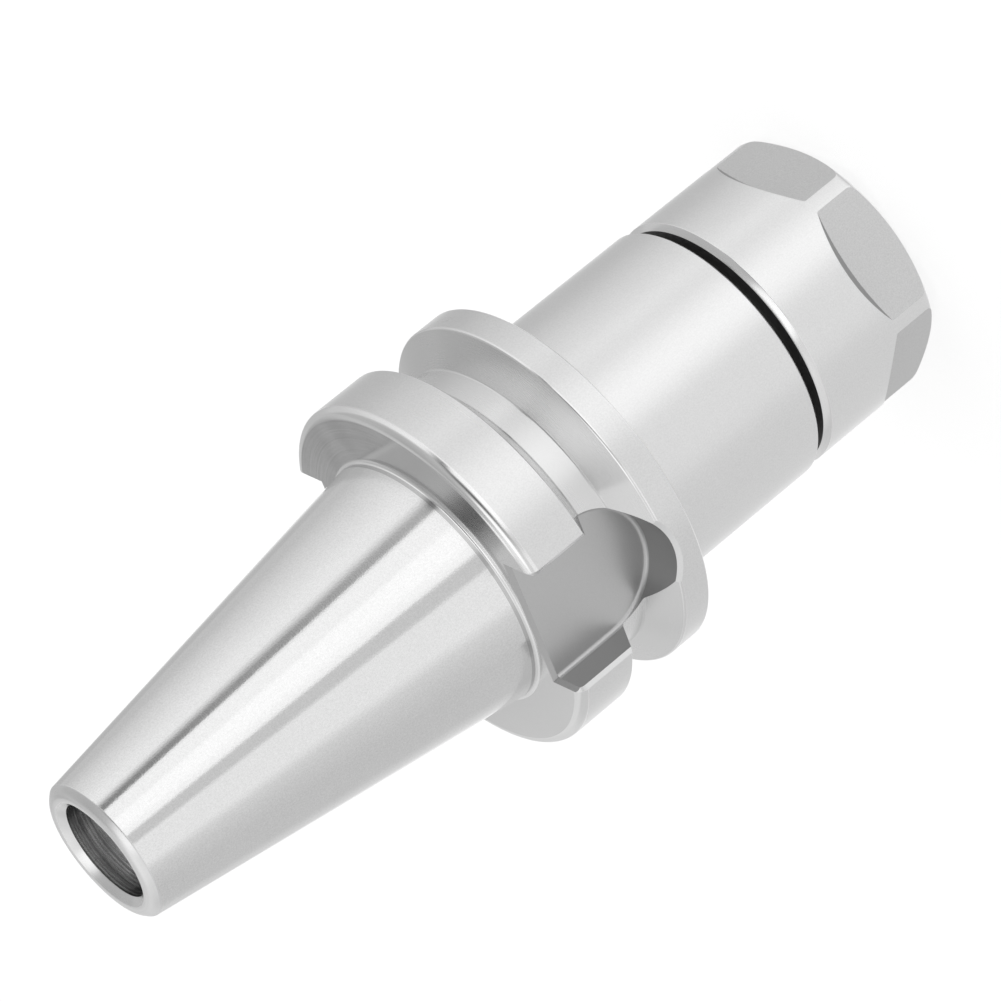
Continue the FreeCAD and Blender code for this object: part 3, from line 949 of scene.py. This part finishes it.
def flat_layer(turn, height, wider):
    """The bevelled cutter's outline at a height over the flat."""
    radius = FLAT_CUTTER_RADIUS + wider
    outline = [(-FLAT_HALF_WIDTH, FLAT_FOOT)]
    for i in range(FLAT_STEPS + 1):
        across = FLAT_HALF_WIDTH * (2 * i / FLAT_STEPS - 1)
        drop = FLAT_CUTTER_RADIUS - math.sqrt(radius ** 2 - across ** 2)
        outline.append((across, FLAT_TOP - drop))
    outline.append((FLAT_HALF_WIDTH, FLAT_FOOT))
    return [tuple(turn @ Vector((FLAT_DISTANCE + height, y, z))) for y, z in outline]


def flat_solid(angle):
    """The metal that one spanner flat removes, with a small round where the wall meets the flat."""
    turn = Matrix.Rotation(math.radians(angle), 3, "Z")
    bend = math.pi / 2 - FLAT_WALL_ANGLE
    back = FLAT_WALL_FOOT * math.tan(bend / 2)
    layers = []
    for i in range(FOOT_STEPS + 1):
        lean = bend * i / FOOT_STEPS
        height = FLAT_WALL_FOOT * (1 - math.cos(lean))
        layers.append(flat_layer(turn, height, FLAT_WALL_FOOT * math.sin(lean) - back))
    spread = FLAT_CUTTER_HEIGHT * math.tan(FLAT_WALL_ANGLE)
    layers.append(flat_layer(turn, FLAT_CUTTER_HEIGHT, spread))
    # The flat's wall is painted darker steel: painted shade.
    walls = ["milled_flat"] * (FOOT_STEPS - 1) + ["wall_painted_shade"]
    return stacked(layers, "milled_flat", walls)


def lip_bore():
    """A round cutter that stands off the axis."""
    layers = []
    for height in LIP_CUT:
        layer = []
        for i in range(NUT_FACETS):
            angle = math.tau * i / NUT_FACETS
            layer.append((LIP_OFFSET + LIP_RADIUS * math.cos(angle), LIP_RADIUS * math.sin(angle), height))
        layers.append(layer)
    return stacked(layers, "collet_steel", ["collet_steel"])


nut = turned("closing_nut", NUT_OUTLINE, NUT_FACETS)
mill(nut, cutter([lip_bore()]))
mill(nut, cutter([flat_solid(FIRST_FLAT + 360 / FLAT_COUNT * i) for i in range(FLAT_COUNT)]))
shade(nut)

# %% [markdown]
# The collet is a slotted sleeve. Saw cuts from both ends, half a step apart, let it close evenly on
# a tool over its whole length.

# %% Turn and saw the collet
COLLET_FACETS = 192
COLLET_OUTLINE = [
    "collet_steel", (5.4, -66.4), (8.9, -66.4), (10.3, -63.975), (10.3, -62.975), (8.9, -62.975),
    (8.9, -60.975), (10.5, -60.975), (6.906, -35.4), (6.335, -34.9), (5.4, -34.9),
    "bored_steel", (5.0, -35.3), (5.0, -66.0),
]
SLOT_COUNT = 8
SLOT_HALF = 0.4
SAW_INNER = 3
SAW_OUTER = 12
FRONT_SAW = (-68.0, -38.5)
REAR_SAW = (-59.2, -34.0)


def saw_solid(angle, low, high):
    """One saw cut, from inside the bore outward."""
    turn = Matrix.Rotation(math.radians(angle), 3, "Z")
    corners = [(SAW_INNER, -SLOT_HALF), (SAW_OUTER, -SLOT_HALF),
               (SAW_OUTER, SLOT_HALF), (SAW_INNER, SLOT_HALF)]
    layers = []
    for height in (low, high):
        layers.append([tuple(turn @ Vector((x, y, height))) for x, y in corners])
    # The slot walls are painted darker steel: painted shade.
    return stacked(layers, "wall_painted_shade", ["wall_painted_shade"])


step = 360 / SLOT_COUNT
saw_cuts = [saw_solid(step * i, *FRONT_SAW) for i in range(SLOT_COUNT)]
saw_cuts += [saw_solid(step * (i + 0.5), *REAR_SAW) for i in range(SLOT_COUNT)]
spring = turned("spring_collet", COLLET_OUTLINE, COLLET_FACETS)
mill(spring, cutter(saw_cuts))
shade(spring)

# %% [markdown]
# The stop screw sits in the thread behind the collet. A hexagon key reaches it through the collet,
# and coolant passes through its small bore. It is blackened, as socket screws are.

# %% Turn and broach the stop screw
SCREW_FACETS = 128
SCREW_OUTLINE = [
    "black_oxide", (1.5, -30.0),
    SCREW_THREAD, (4.975, -30.0),
    (4.975, -20.0), (1.5, -20.0),
]
SOCKET_ACROSS = 6.0
SOCKET_CORNER = SOCKET_ACROSS / math.sqrt(3)
SOCKET_CUT = (-31.0, -25.0)


def hexagon(height):
    """The six corners of the socket at a height."""
    corners = []
    for i in range(6):
        angle = math.radians(60 * i)
        corners.append((SOCKET_CORNER * math.cos(angle), SOCKET_CORNER * math.sin(angle), height))
    return corners


screw = turned("depth_stop", SCREW_OUTLINE, SCREW_FACETS)
socket = stacked([hexagon(height) for height in SOCKET_CUT], "black_oxide", ["black_oxide"])
mill(screw, cutter([socket]))
shade(screw)

# %% [markdown]
# Each new piece stands in for a plain one from the imported model, and rides on the same body.

# %% Put the pieces on their bodies
PLACES = [
    (body, "holder", "holder_body", "ground_steel"),
    (nut, "nut", "clamping_nut", "nut_steel"),
    (spring, "collet", "collet", "collet_steel"),
    (screw, "stop", "stop_screw", "blackened_steel"),
]
for piece, body_name, node_name, slot in PLACES:
    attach(piece, body_name)
    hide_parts(node_name)
    triangles = sum(len(face.vertices) - 2 for face in piece.data.polygons)
    print(piece.name, "rides on", body_name, "with", triangles, "triangles")

# %% [markdown]
# Last come the picture settings.

# %% Finish
bpy.context.scene.view_settings.view_transform = "Standard"
